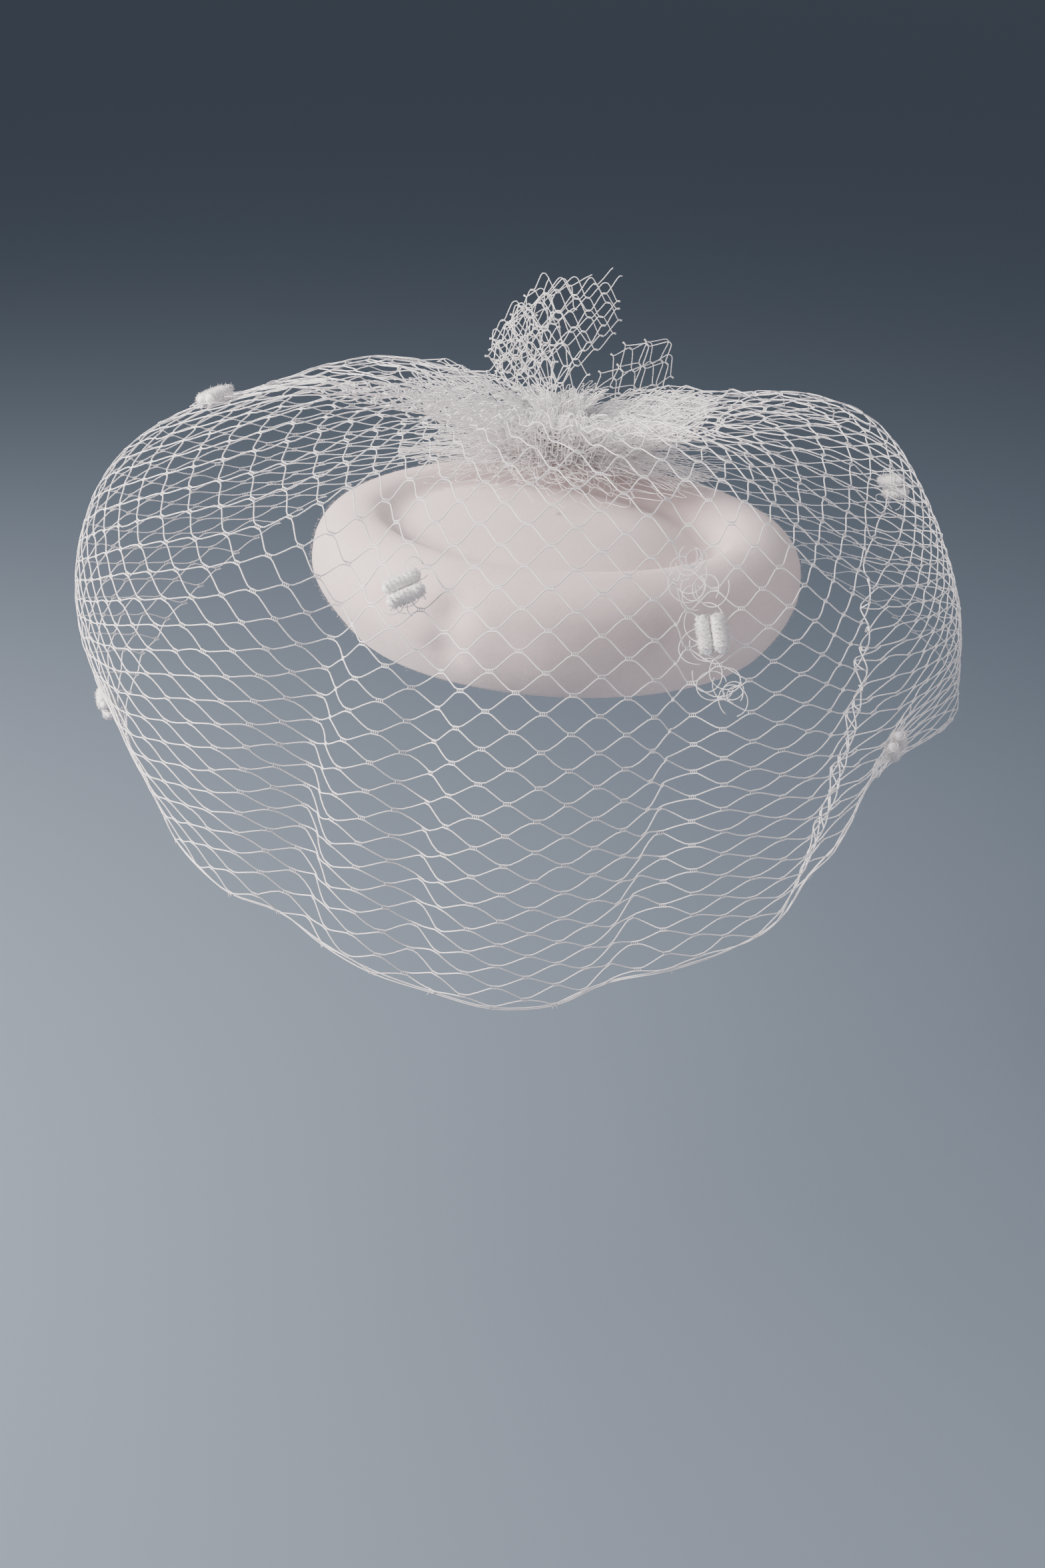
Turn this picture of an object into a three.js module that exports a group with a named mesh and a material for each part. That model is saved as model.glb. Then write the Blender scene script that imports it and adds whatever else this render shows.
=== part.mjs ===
// A felt pillbox hat with a birdcage veil, in millimetres, +Z up.
// The hat faces -Y and +X is its left-hand side as worn. The origin is the middle of the head
// opening, in the plane of the felt's lower edge.
//
// The felt is one blocked sheet: a side wall that flares out and rolls over a soft ring, a groove
// inside the ring, and a low domed tip. The veil is a strip of stiff net gathered to a point at the
// back of the crown. Here its threads are not drawn: each net piece is a thin sheet with the net's
// outer form. Chenille dots sit on the net, and its two cut ends stand up behind the gather.

import * as THREE from 'three';

// ---------------------------------------------------------------- driving dimensions

const FELT_THICKNESS = 2.5;
const NET_THICKNESS = 1.2;
const CLEARANCE = 0.5;

// Where the net is drawn together, over the back of the ring.
const GATHER = new THREE.Vector3(-2, 64, 50);

// ---------------------------------------------------------------- curves and sheets

const radians = THREE.MathUtils.degToRad;

// Smooth curve through the rows of a table. Each row is an array whose first entry is where it
// lies; the result holds the other entries at the place asked for.
function blendRows(rows, place) {
  const last = rows.length - 1;
  let k = 0;
  while (k < last - 1 && place > rows[k + 1][0]) k += 1;
  const width = (i) => rows[i + 1][0] - rows[i][0];
  const slope = (i, c) => (rows[i + 1][c] - rows[i][c]) / width(i);
  const tangent = (i, c) => {
    if (i === 0) return slope(0, c);
    if (i === last) return slope(last - 1, c);
    const before = width(i - 1);
    const after = width(i);
    return (slope(i - 1, c) * after + slope(i, c) * before) / (before + after);
  };
  const t = (place - rows[k][0]) / width(k);
  const t2 = t * t;
  const t3 = t2 * t;
  return rows[k].slice(1).map((value, index) => {
    const c = index + 1;
    return (2 * t3 - 3 * t2 + 1) * value + (t3 - 2 * t2 + t) * width(k) * tangent(k, c)
      + (3 * t2 - 2 * t3) * rows[k + 1][c] + (t3 - t2) * width(k) * tangent(k + 1, c);
  });
}

// Points at equal steps along the smooth curve through the knots given.
function evenPoints(knots, count) {
  const rows = [[0, ...knots[0].toArray()]];
  for (let k = 1; k < knots.length; k += 1) {
    rows.push([rows[k - 1][0] + knots[k].distanceTo(knots[k - 1]), ...knots[k].toArray()]);
  }
  const fine = 160;
  const end = rows[rows.length - 1][0];
  const points = [];
  const travelled = [0];
  for (let k = 0; k <= fine; k += 1) {
    points.push(new THREE.Vector3(...blendRows(rows, (end * k) / fine)));
    if (k > 0) travelled.push(travelled[k - 1] + points[k].distanceTo(points[k - 1]));
  }
  const even = [];
  let k = 0;
  for (let step = 0; step < count; step += 1) {
    const place = (travelled[fine] * step) / (count - 1);
    while (k < fine - 1 && travelled[k + 1] < place) k += 1;
    const t = (place - travelled[k]) / (travelled[k + 1] - travelled[k]);
    even.push(points[k].clone().lerp(points[k + 1], t));
  }
  return even;
}

// Unit normals of a grid of points, grid[line][step], from each point's neighbours.
function sheetNormals(grid, wrap) {
  const lines = grid.length;
  const steps = grid[0].length;
  const line = (i) => (wrap ? (i + lines) % lines : THREE.MathUtils.clamp(i, 0, lines - 1));
  const step = (j) => THREE.MathUtils.clamp(j, 0, steps - 1);
  return grid.map((points, i) => points.map((_, j) => {
    const across = grid[line(i + 1)][j].clone().sub(grid[line(i - 1)][j]);
    const along = grid[i][step(j + 1)].clone().sub(grid[i][step(j - 1)]);
    return across.cross(along).normalize();
  }));
}

// A closed sheet: the grid's two skins lie 'inner' and 'outer' along its normals, and edge faces
// join them. A wrapped grid closes on itself, and a capped one ends in a point at its last step.
function thickSheet(grid, { inner, outer, wrap = false, cap = false, finish = null }) {
  const lines = grid.length;
  const steps = grid[0].length;
  const normals = sheetNormals(grid, wrap);
  const positions = [];
  const faces = [];
  const add = (point) => positions.push(point.x, point.y, point.z) / 3 - 1;
  const skin = (lift) => grid.map((points, i) => points.map((point, j) => {
    const moved = point.clone().addScaledVector(normals[i][j], lift);
    if (finish) finish(moved, j);
    return add(moved);
  }));
  const skins = [skin(outer), skin(inner)];
  const quad = (a, b, c, d) => faces.push(a, b, c, a, c, d);
  const lineCount = wrap ? lines : lines - 1;
  for (let i = 0; i < lineCount; i += 1) {
    const next = (i + 1) % lines;
    for (let j = 0; j < steps - 1; j += 1) {
      quad(skins[0][i][j], skins[0][next][j], skins[0][next][j + 1], skins[0][i][j + 1]);
      quad(skins[1][i][j], skins[1][i][j + 1], skins[1][next][j + 1], skins[1][next][j]);
    }
    quad(skins[1][i][0], skins[1][next][0], skins[0][next][0], skins[0][i][0]);
    if (!cap) {
      const end = steps - 1;
      quad(skins[0][i][end], skins[0][next][end], skins[1][next][end], skins[1][i][end]);
    }
  }
  if (!wrap) {
    const end = lines - 1;
    for (let j = 0; j < steps - 1; j += 1) {
      quad(skins[0][0][j], skins[0][0][j + 1], skins[1][0][j + 1], skins[1][0][j]);
      quad(skins[1][end][j], skins[1][end][j + 1], skins[0][end][j + 1], skins[0][end][j]);
    }
  }
  if (cap) {
    const centre = new THREE.Vector3();
    grid.forEach((points) => centre.addScaledVector(points[steps - 1], 1 / lines));
    [outer, inner].forEach((lift, side) => {
      const tip = add(centre.clone().setZ(centre.z + lift));
      for (let i = 0; i < lines; i += 1) {
        const a = skins[side][i][steps - 1];
        const b = skins[side][(i + 1) % lines][steps - 1];
        if (side === 0) faces.push(a, b, tip);
        else faces.push(b, a, tip);
      }
    });
  }
  const geometry = new THREE.BufferGeometry();
  geometry.setAttribute('position', new THREE.Float32BufferAttribute(positions, 3));
  geometry.setIndex(faces);
  return facesOut(geometry);
}

// Turns every face round if the solid is inside out.
function facesOut(geometry) {
  const position = geometry.getAttribute('position');
  const index = Array.from(geometry.getIndex().array);
  const corner = (k) => new THREE.Vector3().fromBufferAttribute(position, index[k]);
  let volume = 0;
  for (let k = 0; k < index.length; k += 3) {
    volume += corner(k).dot(corner(k + 1).cross(corner(k + 2)));
  }
  if (volume < 0) geometry.setIndex(index.map((_, k) => index[k - (k % 3) + (2 - (k % 3))]));
  geometry.computeVertexNormals();
  return geometry;
}

function namedMesh(name, geometry, material) {
  const mesh = new THREE.Mesh(geometry, material);
  mesh.name = name;
  return mesh;
}

// ---------------------------------------------------------------- felt body

// The sheet's outer face from the lower edge to the middle of the tip, a row for each turn of the
// section. radius and height are of the plain section; 'fall' is how far the row drops on the
// hat's front left, where the groove is deepest, and rises on the opposite side.
const FELT_LINES = 56;
const FELT_GROOVE_DEEPEST = 20;
const FELT_DEPTH_RATIO = 0.965;
// The lower edge is rounder than the ring over it, and sits a little towards +X.
const FELT_EDGE_ROUNDER = 0.04;
const FELT_EDGE_SHIFT = 1.6;
const FELT_EDGE_FADE = 20;
const FELT_SECTION = [
  { part: 'lower edge', radius: 70.0, height: 0.0, fall: 0.0 },
  { part: 'low wall', radius: 74.4, height: 5.4, fall: 0.0 },
  { part: 'mid wall', radius: 78.4, height: 11.5, fall: 0.0 },
  { part: 'widest line', radius: 81.0, height: 19.5, fall: 0.0 },
  { part: 'upper wall', radius: 80.2, height: 26.5, fall: 0.1 },
  { part: 'shoulder', radius: 77.0, height: 32.4, fall: 0.2 },
  { part: 'outer ring', radius: 71.5, height: 36.2, fall: 0.3 },
  { part: 'ring top', radius: 65.0, height: 37.5, fall: 0.3 },
  { part: 'inner ring', radius: 60.0, height: 36.2, fall: 0.5 },
  { part: 'groove wall', radius: 56.6, height: 32.8, fall: 1.4 },
  { part: 'groove', radius: 53.0, height: 29.8, fall: 2.7 },
  { part: 'tip foot', radius: 48.4, height: 30.2, fall: 2.9 },
  { part: 'tip side', radius: 41.0, height: 32.9, fall: 2.5 },
  { part: 'low tip', radius: 31.0, height: 35.2, fall: 1.5 },
  { part: 'high tip', radius: 19.0, height: 36.4, fall: 0.8 },
  { part: 'tip middle', radius: 6.0, height: 36.8, fall: 0.2 },
];

function feltGrid() {
  const grid = [];
  for (let i = 0; i < FELT_LINES; i += 1) {
    const azimuth = (360 * i) / FELT_LINES;
    const turn = radians(azimuth);
    const fall = Math.cos(radians(azimuth + FELT_GROOVE_DEEPEST));
    grid.push(FELT_SECTION.map((row) => {
      const low = 1 - THREE.MathUtils.smoothstep(row.height, 0, FELT_EDGE_FADE);
      return new THREE.Vector3(
        row.radius * Math.cos(turn) + FELT_EDGE_SHIFT * low,
        row.radius * Math.sin(turn) * (FELT_DEPTH_RATIO + FELT_EDGE_ROUNDER * low),
        row.height - row.fall * fall,
      );
    }));
  }
  return grid;
}

function makeFeltBody() {
  // The lower edge is cut square: both skins end in one level plane.
  const cutLevel = (point, step) => {
    if (step === 0) point.z = 0;
  };
  const geometry = thickSheet(feltGrid(), {
    inner: -FELT_THICKNESS,
    outer: 0,
    wrap: true,
    cap: true,
    finish: cutLevel,
  });
  return namedMesh('felt_body', geometry, new THREE.MeshStandardMaterial({
    color: 0xece6e3, roughness: 0.95, metalness: 0,
  }));
}

// ---------------------------------------------------------------- veil

// How the net hangs, a row for each direction round the hat: 'at' is the azimuth, 0 at the front and
// +90 at +X. Each direction's line runs from the gather over a top, a belly and a waist to the free
// hem. The r columns are distances from the hat's axis and the z columns are heights.
const VEIL_HANG = [
  { at: -172, rTop: 82, zTop: 53, rBelly: 88, zBelly: 50, rWaist: 90, zWaist: 45, rHem: 89, zHem: 40 },
  { at: -145, rTop: 92, zTop: 66, rBelly: 122, zBelly: 61, rWaist: 128, zWaist: 42, rHem: 120, zHem: 20 },
  { at: -118, rTop: 99, zTop: 65, rBelly: 141, zBelly: 48, rWaist: 153, zWaist: 20, rHem: 138, zHem: -8 },
  { at: -92, rTop: 97, zTop: 70, rBelly: 150, zBelly: 40, rWaist: 161, zWaist: 4, rHem: 146, zHem: -42 },
  { at: -66, rTop: 97, zTop: 71, rBelly: 143, zBelly: 38, rWaist: 148, zWaist: -14, rHem: 135, zHem: -52 },
  { at: -42, rTop: 78, zTop: 71, rBelly: 125, zBelly: 32, rWaist: 140, zWaist: -20, rHem: 134, zHem: -61 },
  { at: -20, rTop: 64, zTop: 72, rBelly: 112, zBelly: 26, rWaist: 130, zWaist: -32, rHem: 127, zHem: -73 },
  { at: 0, rTop: 58, zTop: 72, rBelly: 108, zBelly: 26, rWaist: 124, zWaist: -34, rHem: 119, zHem: -79 },
  { at: 20, rTop: 62, zTop: 70, rBelly: 108, zBelly: 24, rWaist: 120, zWaist: -34, rHem: 115, zHem: -72 },
  { at: 42, rTop: 74, zTop: 67, rBelly: 112, zBelly: 22, rWaist: 122, zWaist: -24, rHem: 121, zHem: -56 },
  { at: 66, rTop: 86, zTop: 62, rBelly: 114, zBelly: 25, rWaist: 123, zWaist: -6, rHem: 118, zHem: -28 },
  { at: 92, rTop: 104, zTop: 65, rBelly: 122, zBelly: 36, rWaist: 138, zWaist: 4, rHem: 142, zHem: -22 },
  { at: 118, rTop: 110, zTop: 66, rBelly: 130, zBelly: 47, rWaist: 139, zWaist: 16, rHem: 135, zHem: -8 },
  { at: 145, rTop: 92, zTop: 62, rBelly: 114, zBelly: 52, rWaist: 119, zWaist: 32, rHem: 112, zHem: 10 },
  { at: 172, rTop: 82, zTop: 52, rBelly: 87, zBelly: 49, rWaist: 89, zWaist: 44, rHem: 88, zHem: 36 },
];
const VEIL_LINES = 58;
const VEIL_STEPS = 15;
const VEIL_EYE_RADIUS = 9.5;

// Soft upright folds, each a ridge (+) or a dip (-) that grows from the shoulder to the hem.
const VEIL_FOLDS = [
  { azimuth: -104, width: 12, push: 3 },
  { azimuth: -56, width: 9, push: 3 },
  { azimuth: -34, width: 8, push: -7 },
  { azimuth: -4, width: 12, push: 4 },
  { azimuth: 29, width: 8, push: -7 },
  { azimuth: 66, width: 8, push: -5 },
  { azimuth: 104, width: 10, push: 4 },
];

function outwards(azimuth) {
  const turn = radians(azimuth);
  return new THREE.Vector3(Math.sin(turn), -Math.cos(turn), 0);
}

// The veil's middle surface at an azimuth: points at equal steps from the gather to the hem.
function veilLine(azimuth, steps = VEIL_STEPS) {
  const hang = blendRows(VEIL_HANG.map((row) => Object.values(row)), azimuth);
  const out = outwards(azimuth);
  const knots = [GATHER.clone().addScaledVector(out, VEIL_EYE_RADIUS)];
  for (let k = 0; k < hang.length; k += 2) {
    knots.push(out.clone().multiplyScalar(hang[k]).setZ(hang[k + 1]));
  }
  const points = evenPoints(knots, steps);
  points.forEach((point, j) => {
    const grown = THREE.MathUtils.smoothstep(j / (steps - 1), 0.3, 0.85);
    VEIL_FOLDS.forEach((fold) => {
      const away = (azimuth - fold.azimuth) / fold.width;
      point.addScaledVector(out, fold.push * grown * Math.exp(-away * away));
    });
  });
  return points;
}

function makeVeil() {
  const first = VEIL_HANG[0].at;
  const last = VEIL_HANG[VEIL_HANG.length - 1].at;
  const grid = [];
  for (let i = 0; i < VEIL_LINES; i += 1) {
    grid.push(veilLine(first + ((last - first) * i) / (VEIL_LINES - 1)));
  }
  const half = NET_THICKNESS / 2;
  const geometry = thickSheet(grid, { inner: -half, outer: half });
  return namedMesh('veil', geometry, netMaterial());
}

function netMaterial() {
  return new THREE.MeshStandardMaterial({
    color: 0xf2f1f2, roughness: 0.6, metalness: 0, side: THREE.DoubleSide,
  });
}

// ---------------------------------------------------------------- gather and tails

// The net's root: a pleated knob standing on the ring, with the tails coming out of its top.
const GATHER_PLEATS = 9;
const GATHER_LINES = 36;
const GATHER_SECTION = [
  { radius: 0.0, height: 38.6 },
  { radius: 5.4, height: 38.6 },
  { radius: 6.2, height: 41.0 },
  { radius: 5.0, height: 45.0 },
  { radius: 6.2, height: 50.0 },
  { radius: 6.6, height: 54.0 },
  { radius: 4.6, height: 58.0 },
  { radius: 0.0, height: 59.6 },
];

function makeGather() {
  const positions = [];
  const faces = [];
  const rings = GATHER_SECTION.slice(1, -1);
  rings.forEach((ring) => {
    for (let i = 0; i < GATHER_LINES; i += 1) {
      const turn = (2 * Math.PI * i) / GATHER_LINES;
      const radius = ring.radius + 0.5 * Math.cos(GATHER_PLEATS * turn);
      positions.push(
        GATHER.x + radius * Math.cos(turn),
        GATHER.y + radius * Math.sin(turn),
        ring.height,
      );
    }
  });
  const bottom = positions.push(GATHER.x, GATHER.y, GATHER_SECTION[0].height) / 3 - 1;
  const top = positions.push(GATHER.x, GATHER.y, GATHER_SECTION.at(-1).height) / 3 - 1;
  for (let i = 0; i < GATHER_LINES; i += 1) {
    const next = (i + 1) % GATHER_LINES;
    faces.push(bottom, next, i);
    for (let k = 0; k < rings.length - 1; k += 1) {
      const low = k * GATHER_LINES;
      const high = low + GATHER_LINES;
      faces.push(low + i, low + next, high + next, low + i, high + next, high + i);
    }
    const highest = (rings.length - 1) * GATHER_LINES;
    faces.push(top, highest + i, highest + next);
  }
  const geometry = new THREE.BufferGeometry();
  geometry.setAttribute('position', new THREE.Float32BufferAttribute(positions, 3));
  geometry.setIndex(faces);
  return namedMesh('net_gather', facesOut(geometry), netMaterial());
}

// The net's two cut ends fan out above the gather. A row for each rib of the fan: its lean from
// +X, its length from the fan's root, and how far its tip stands behind the root.
const TAIL_ROOT = new THREE.Vector3(GATHER.x, GATHER.y + 1, 54.5);
const TAIL_ROOT_RADIUS = 8;
const TAIL_LINES = 13;
const TAIL_STEPS = 7;
const UPPER_TAIL = [
  { lean: 59, length: 36, back: 10 },
  { lean: 71, length: 53, back: 10 },
  { lean: 84, length: 49, back: 7 },
  { lean: 100, length: 47, back: 10 },
  { lean: 118, length: 40, back: 9 },
  { lean: 140, length: 34, back: 8 },
  { lean: 157, length: 28, back: 5 },
];
const LOWER_TAIL = [
  { lean: 15, length: 42, back: 14 },
  { lean: 26, length: 42, back: 17 },
  { lean: 36, length: 44, back: 12 },
  { lean: 52, length: 30, back: 15 },
];

function makeTail(name, table) {
  const rows = table.map((row) => Object.values(row));
  const first = rows[0][0];
  const last = rows[rows.length - 1][0];
  const grid = [];
  for (let i = 0; i < TAIL_LINES; i += 1) {
    const lean = first + ((last - first) * i) / (TAIL_LINES - 1);
    const [length, back] = blendRows(rows, lean);
    const turn = radians(lean);
    const rib = [];
    for (let j = 0; j < TAIL_STEPS; j += 1) {
      const share = j / (TAIL_STEPS - 1);
      const reach = TAIL_ROOT_RADIUS + (length - TAIL_ROOT_RADIUS) * share;
      rib.push(new THREE.Vector3(
        TAIL_ROOT.x + reach * Math.cos(turn),
        TAIL_ROOT.y + back * share ** 1.4,
        TAIL_ROOT.z + reach * Math.sin(turn),
      ));
    }
    grid.push(rib);
  }
  const half = NET_THICKNESS / 2;
  return namedMesh(name, thickSheet(grid, { inner: -half, outer: half }), netMaterial());
}

// ---------------------------------------------------------------- chenille dots

// A dot is a short chenille stem folded double and pinched on to the net, so it shows two plump
// lobes side by side. 'along' is the share of the way from gather to hem, and 'spin' turns the
// lobes from the net's line of hang.
const DOT = { length: 14.5, width: 8.6, thickness: 6.6, groove: 0.34, grooveWidth: 1.2 };
const DOT_PLACES = [
  { azimuth: -98, along: 0.5, spin: 65 },
  { azimuth: -85, along: 0.956, spin: 80 },
  { azimuth: -24, along: 0.59, spin: -40 },
  { azimuth: 28, along: 0.638, spin: -8 },
  { azimuth: 119, along: 0.762, spin: 75 },
  { azimuth: 64, along: 0.931, spin: 50 },
];

function dotGeometry() {
  const around = 16;
  const down = 10;
  const positions = [];
  const faces = [];
  const shape = (x, y, z) => {
    const across = (y * DOT.width) / 2;
    const pinch = 1 - DOT.groove * Math.exp(-((across / DOT.grooveWidth) ** 2));
    positions.push((x * DOT.length) / 2, across, ((z * DOT.thickness) / 2) * pinch);
  };
  for (let j = 1; j < down; j += 1) {
    const tilt = (Math.PI * j) / down;
    for (let i = 0; i < around; i += 1) {
      const turn = (2 * Math.PI * i) / around;
      shape(Math.cos(tilt), Math.sin(tilt) * Math.cos(turn), Math.sin(tilt) * Math.sin(turn));
    }
  }
  shape(1, 0, 0);
  shape(-1, 0, 0);
  const [head, foot] = [(down - 1) * around, (down - 1) * around + 1];
  for (let i = 0; i < around; i += 1) {
    const next = (i + 1) % around;
    faces.push(head, i, next);
    for (let j = 0; j < down - 2; j += 1) {
      const near = j * around;
      const far = near + around;
      faces.push(near + i, far + i, far + next, near + i, far + next, near + next);
    }
    const end = (down - 2) * around;
    faces.push(foot, end + next, end + i);
  }
  const geometry = new THREE.BufferGeometry();
  geometry.setAttribute('position', new THREE.Float32BufferAttribute(positions, 3));
  geometry.setIndex(faces);
  return facesOut(geometry);
}

function makeDot(place, number) {
  const fine = 61;
  const step = Math.round(place.along * (fine - 1));
  const line = veilLine(place.azimuth, fine);
  const beside = veilLine(place.azimuth + 2, fine);
  const down = line[step + 1].clone().sub(line[step - 1]).normalize();
  const across = beside[step].clone().sub(line[step]);
  const out = down.clone().cross(across).normalize();
  const side = out.clone().cross(down);
  const long = down.clone().applyAxisAngle(out, radians(place.spin));
  const wide = side.clone().applyAxisAngle(out, radians(place.spin));
  const lift = NET_THICKNESS / 2 + DOT.thickness / 2 + CLEARANCE;
  const centre = line[step].clone().addScaledVector(out, lift);
  const mesh = namedMesh(`chenille_dot_${number}`, dotGeometry(), new THREE.MeshStandardMaterial({
    color: 0xf6f4f2, roughness: 0.9, metalness: 0,
  }));
  mesh.applyMatrix4(new THREE.Matrix4().makeBasis(long, wide, out).setPosition(centre));
  return mesh;
}

// ---------------------------------------------------------------- the hat

const hat = new THREE.Group();
hat.add(makeFeltBody());
hat.add(makeVeil());
hat.add(makeGather());
hat.add(makeTail('net_tail_upper', UPPER_TAIL));
hat.add(makeTail('net_tail_lower', LOWER_TAIL));
DOT_PLACES.forEach((place, k) => hat.add(makeDot(place, k + 1)));

export default hat;
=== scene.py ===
import math

import bpy
import numpy as np
from mathutils import Matrix, Vector


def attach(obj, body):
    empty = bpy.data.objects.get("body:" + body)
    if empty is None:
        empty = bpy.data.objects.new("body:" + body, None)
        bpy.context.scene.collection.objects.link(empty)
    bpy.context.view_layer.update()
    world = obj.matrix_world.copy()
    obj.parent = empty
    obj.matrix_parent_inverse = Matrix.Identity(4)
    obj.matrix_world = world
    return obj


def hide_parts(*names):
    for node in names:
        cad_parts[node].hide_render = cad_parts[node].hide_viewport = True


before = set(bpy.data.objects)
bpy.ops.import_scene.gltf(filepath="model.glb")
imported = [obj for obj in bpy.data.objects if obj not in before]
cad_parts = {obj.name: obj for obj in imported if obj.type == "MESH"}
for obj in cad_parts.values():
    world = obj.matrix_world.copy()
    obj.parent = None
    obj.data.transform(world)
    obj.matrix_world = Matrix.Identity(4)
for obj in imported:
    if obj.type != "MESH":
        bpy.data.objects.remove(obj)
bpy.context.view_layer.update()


# ------------------------------------------------------------------ felt body
# The hat itself: one sheet of fine ivory wool felt, wetted, steamed and pressed over a block, with
# a flared side, a soft ring rolled round the top, a groove inside the ring and a low domed tip.
# The lower edge is cut square and left raw.

MM = 0.001


def linear(hex_colour):
    """An sRGB hex colour as linear red, green, blue and full alpha."""
    parts = [int(hex_colour[k:k + 2], 16) / 255 for k in (1, 3, 5)]
    parts = [c / 12.92 if c <= 0.04045 else ((c + 0.055) / 1.055) ** 2.4 for c in parts]
    return (*parts, 1.0)


def add_node(tree, kind, settings, sockets):
    """Adds a node. A socket's value is a number, a colour, or another node's output to link."""
    node = tree.nodes.new(kind)
    for name, value in settings.items():
        setattr(node, name, value)
    for name, value in sockets.items():
        if isinstance(value, bpy.types.NodeSocket):
            tree.links.new(value, node.inputs[name])
        else:
            node.inputs[name].default_value = value
    return node


def new_material(name):
    """An empty material and its node tree."""
    material = bpy.data.materials.new(name)
    material.use_nodes = True
    material.node_tree.nodes.clear()
    return material, material.node_tree


def two_tone(tree, value, low, high):
    """The colour of a ramp between two stops, each a position and a hex colour, at a value."""
    ramp = add_node(tree, "ShaderNodeValToRGB", {}, {"Fac": value})
    for stop, (position, hex_colour) in zip(ramp.color_ramp.elements, (low, high)):
        stop.position = position
        stop.color = linear(hex_colour)
    return ramp.outputs["Color"]


def mesh_piece(name, points, faces, material):
    """A smooth-shaded mesh object from points in millimetres; it rides on the hat's one body."""
    mesh = bpy.data.meshes.new(name)
    mesh.from_pydata((np.asarray(points) * MM).tolist(), [], faces)
    mesh.polygons.foreach_set("use_smooth", np.ones(len(mesh.polygons), dtype=bool))
    mesh.materials.append(material)
    piece = bpy.data.objects.new(name, mesh)
    bpy.context.scene.collection.objects.link(piece)
    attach(piece, "root")
    return piece


def blend_rows(places, row_places, rows):
    """Smooth curve through the rows of a table, read at each of the places."""
    widths = np.diff(row_places)
    slopes = np.diff(rows, axis=0) / widths[:, None]
    inner = slopes[:-1] * widths[1:, None] + slopes[1:] * widths[:-1, None]
    inner = inner / (widths[1:] + widths[:-1])[:, None]
    tangents = np.vstack([slopes[:1], inner, slopes[-1:]])
    k = np.clip(np.searchsorted(row_places, places, side="right") - 1, 0, len(widths) - 1)
    t = ((places - row_places[k]) / widths[k])[:, None]
    w = widths[k][:, None]
    return ((2 * t ** 3 - 3 * t ** 2 + 1) * rows[k] + (t ** 3 - 2 * t ** 2 + t) * w * tangents[k]
            + (3 * t ** 2 - 2 * t ** 3) * rows[k + 1] + (t ** 3 - t ** 2) * w * tangents[k + 1])


def path_lengths(points):
    """Distance travelled along a path at each of its points."""
    return np.r_[0, np.cumsum(np.linalg.norm(np.diff(points, axis=0), axis=1))]


def smooth_step(x, low, high):
    """0 below low, 1 above high, and an even rise between."""
    t = np.clip((x - low) / (high - low), 0, 1)
    return t * t * (3 - 2 * t)


def unit(vectors):
    """Vectors scaled to length 1 along the last axis."""
    return vectors / np.maximum(np.linalg.norm(vectors, axis=-1, keepdims=True), 1e-9)


FELT_RADIUS = 80
FELT_THICKNESS = 2.5
FELT_LINES = 224
FELT_STEPS = 120
FELT_DEPTH_RATIO = 0.965
# The lower edge is rounder than the ring over it, and sits a little towards +X.
FELT_EDGE_ROUNDER = 0.04
FELT_EDGE_SHIFT = 1.6
FELT_EDGE_FADE = 20
GROOVE_DEEPEST = 20
# The sheet's outer face from the lower edge to the middle of the tip: radius, height, and how far
# the row drops on the front left, where the groove is deepest.
FELT_SECTION = np.array([
    (70.0, 0.0, 0.0),
    (74.4, 5.4, 0.0),
    (78.4, 11.5, 0.0),
    (80.8, 17.5, 0.0),
    (80.9, 22.8, 0.0),
    (79.6, 28.4, 0.1),
    (76.2, 33.2, 0.2),
    (71.0, 36.4, 0.3),
    (65.4, 37.6, 0.3),
    (61.0, 36.9, 0.4),
    (57.8, 34.6, 1.2),
    (55.2, 31.8, 2.6),
    (52.6, 30.1, 3.8),
    (49.0, 30.4, 4.1),
    (43.6, 32.2, 3.5),
    (36.0, 34.3, 2.4),
    (27.0, 35.8, 1.4),
    (14.0, 36.7, 0.6),
    (0.3, 36.9, 0.2),
])
# A hand-blocked sheet is never quite round. Slow waves round it: how many, how deep, and where
# they start. They fade out across the groove, and the tip's middle has none.
FELT_WAVES = [(2, 0.45, 0.8), (3, 0.3, 2.1)]
WAVES_FROM, WAVES_FULL = 35, 70
# Marks of handling on the wall: azimuth, height, how far pressed in, and how wide.
FELT_DENTS = [(246, 14, 2.4, 6), (248, 26, 2.8, 5.5), (262, 20, 0.6, 9), (318, 9, 0.6, 14),
              (150, 18, 0.7, 16), (60, 12, 0.6, 18)]


def felt_outer():
    """Points of the felt's outer face, [line round the hat][step up the section]."""
    places = path_lengths(FELT_SECTION[:, :2])
    section = blend_rows(np.linspace(0, places[-1], FELT_STEPS), places, FELT_SECTION)
    turn = np.linspace(0, 2 * math.pi, FELT_LINES, endpoint=False)[:, None]
    radius, height, fall = section.T[:, None, :]
    wave = sum(deep * np.sin(count * turn + start) for count, deep, start in FELT_WAVES)
    radius = radius + wave * smooth_step(radius, WAVES_FROM, WAVES_FULL)
    for azimuth, at_height, depth, width in FELT_DENTS:
        around = (np.degrees(turn) - azimuth + 180) % 360 - 180
        away = np.hypot(np.radians(around) * FELT_RADIUS, height - at_height)
        radius = radius - depth * np.exp(-(away / width) ** 2) * (radius > WAVES_FULL)
    low = 1 - smooth_step(height, 0, FELT_EDGE_FADE)
    height = height - fall * np.cos(turn + math.radians(GROOVE_DEEPEST))
    x = radius * np.cos(turn) + FELT_EDGE_SHIFT * low
    y = radius * np.sin(turn) * (FELT_DEPTH_RATIO + FELT_EDGE_ROUNDER * low)
    return np.stack([x, y, height + 0 * turn], axis=-1)


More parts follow.
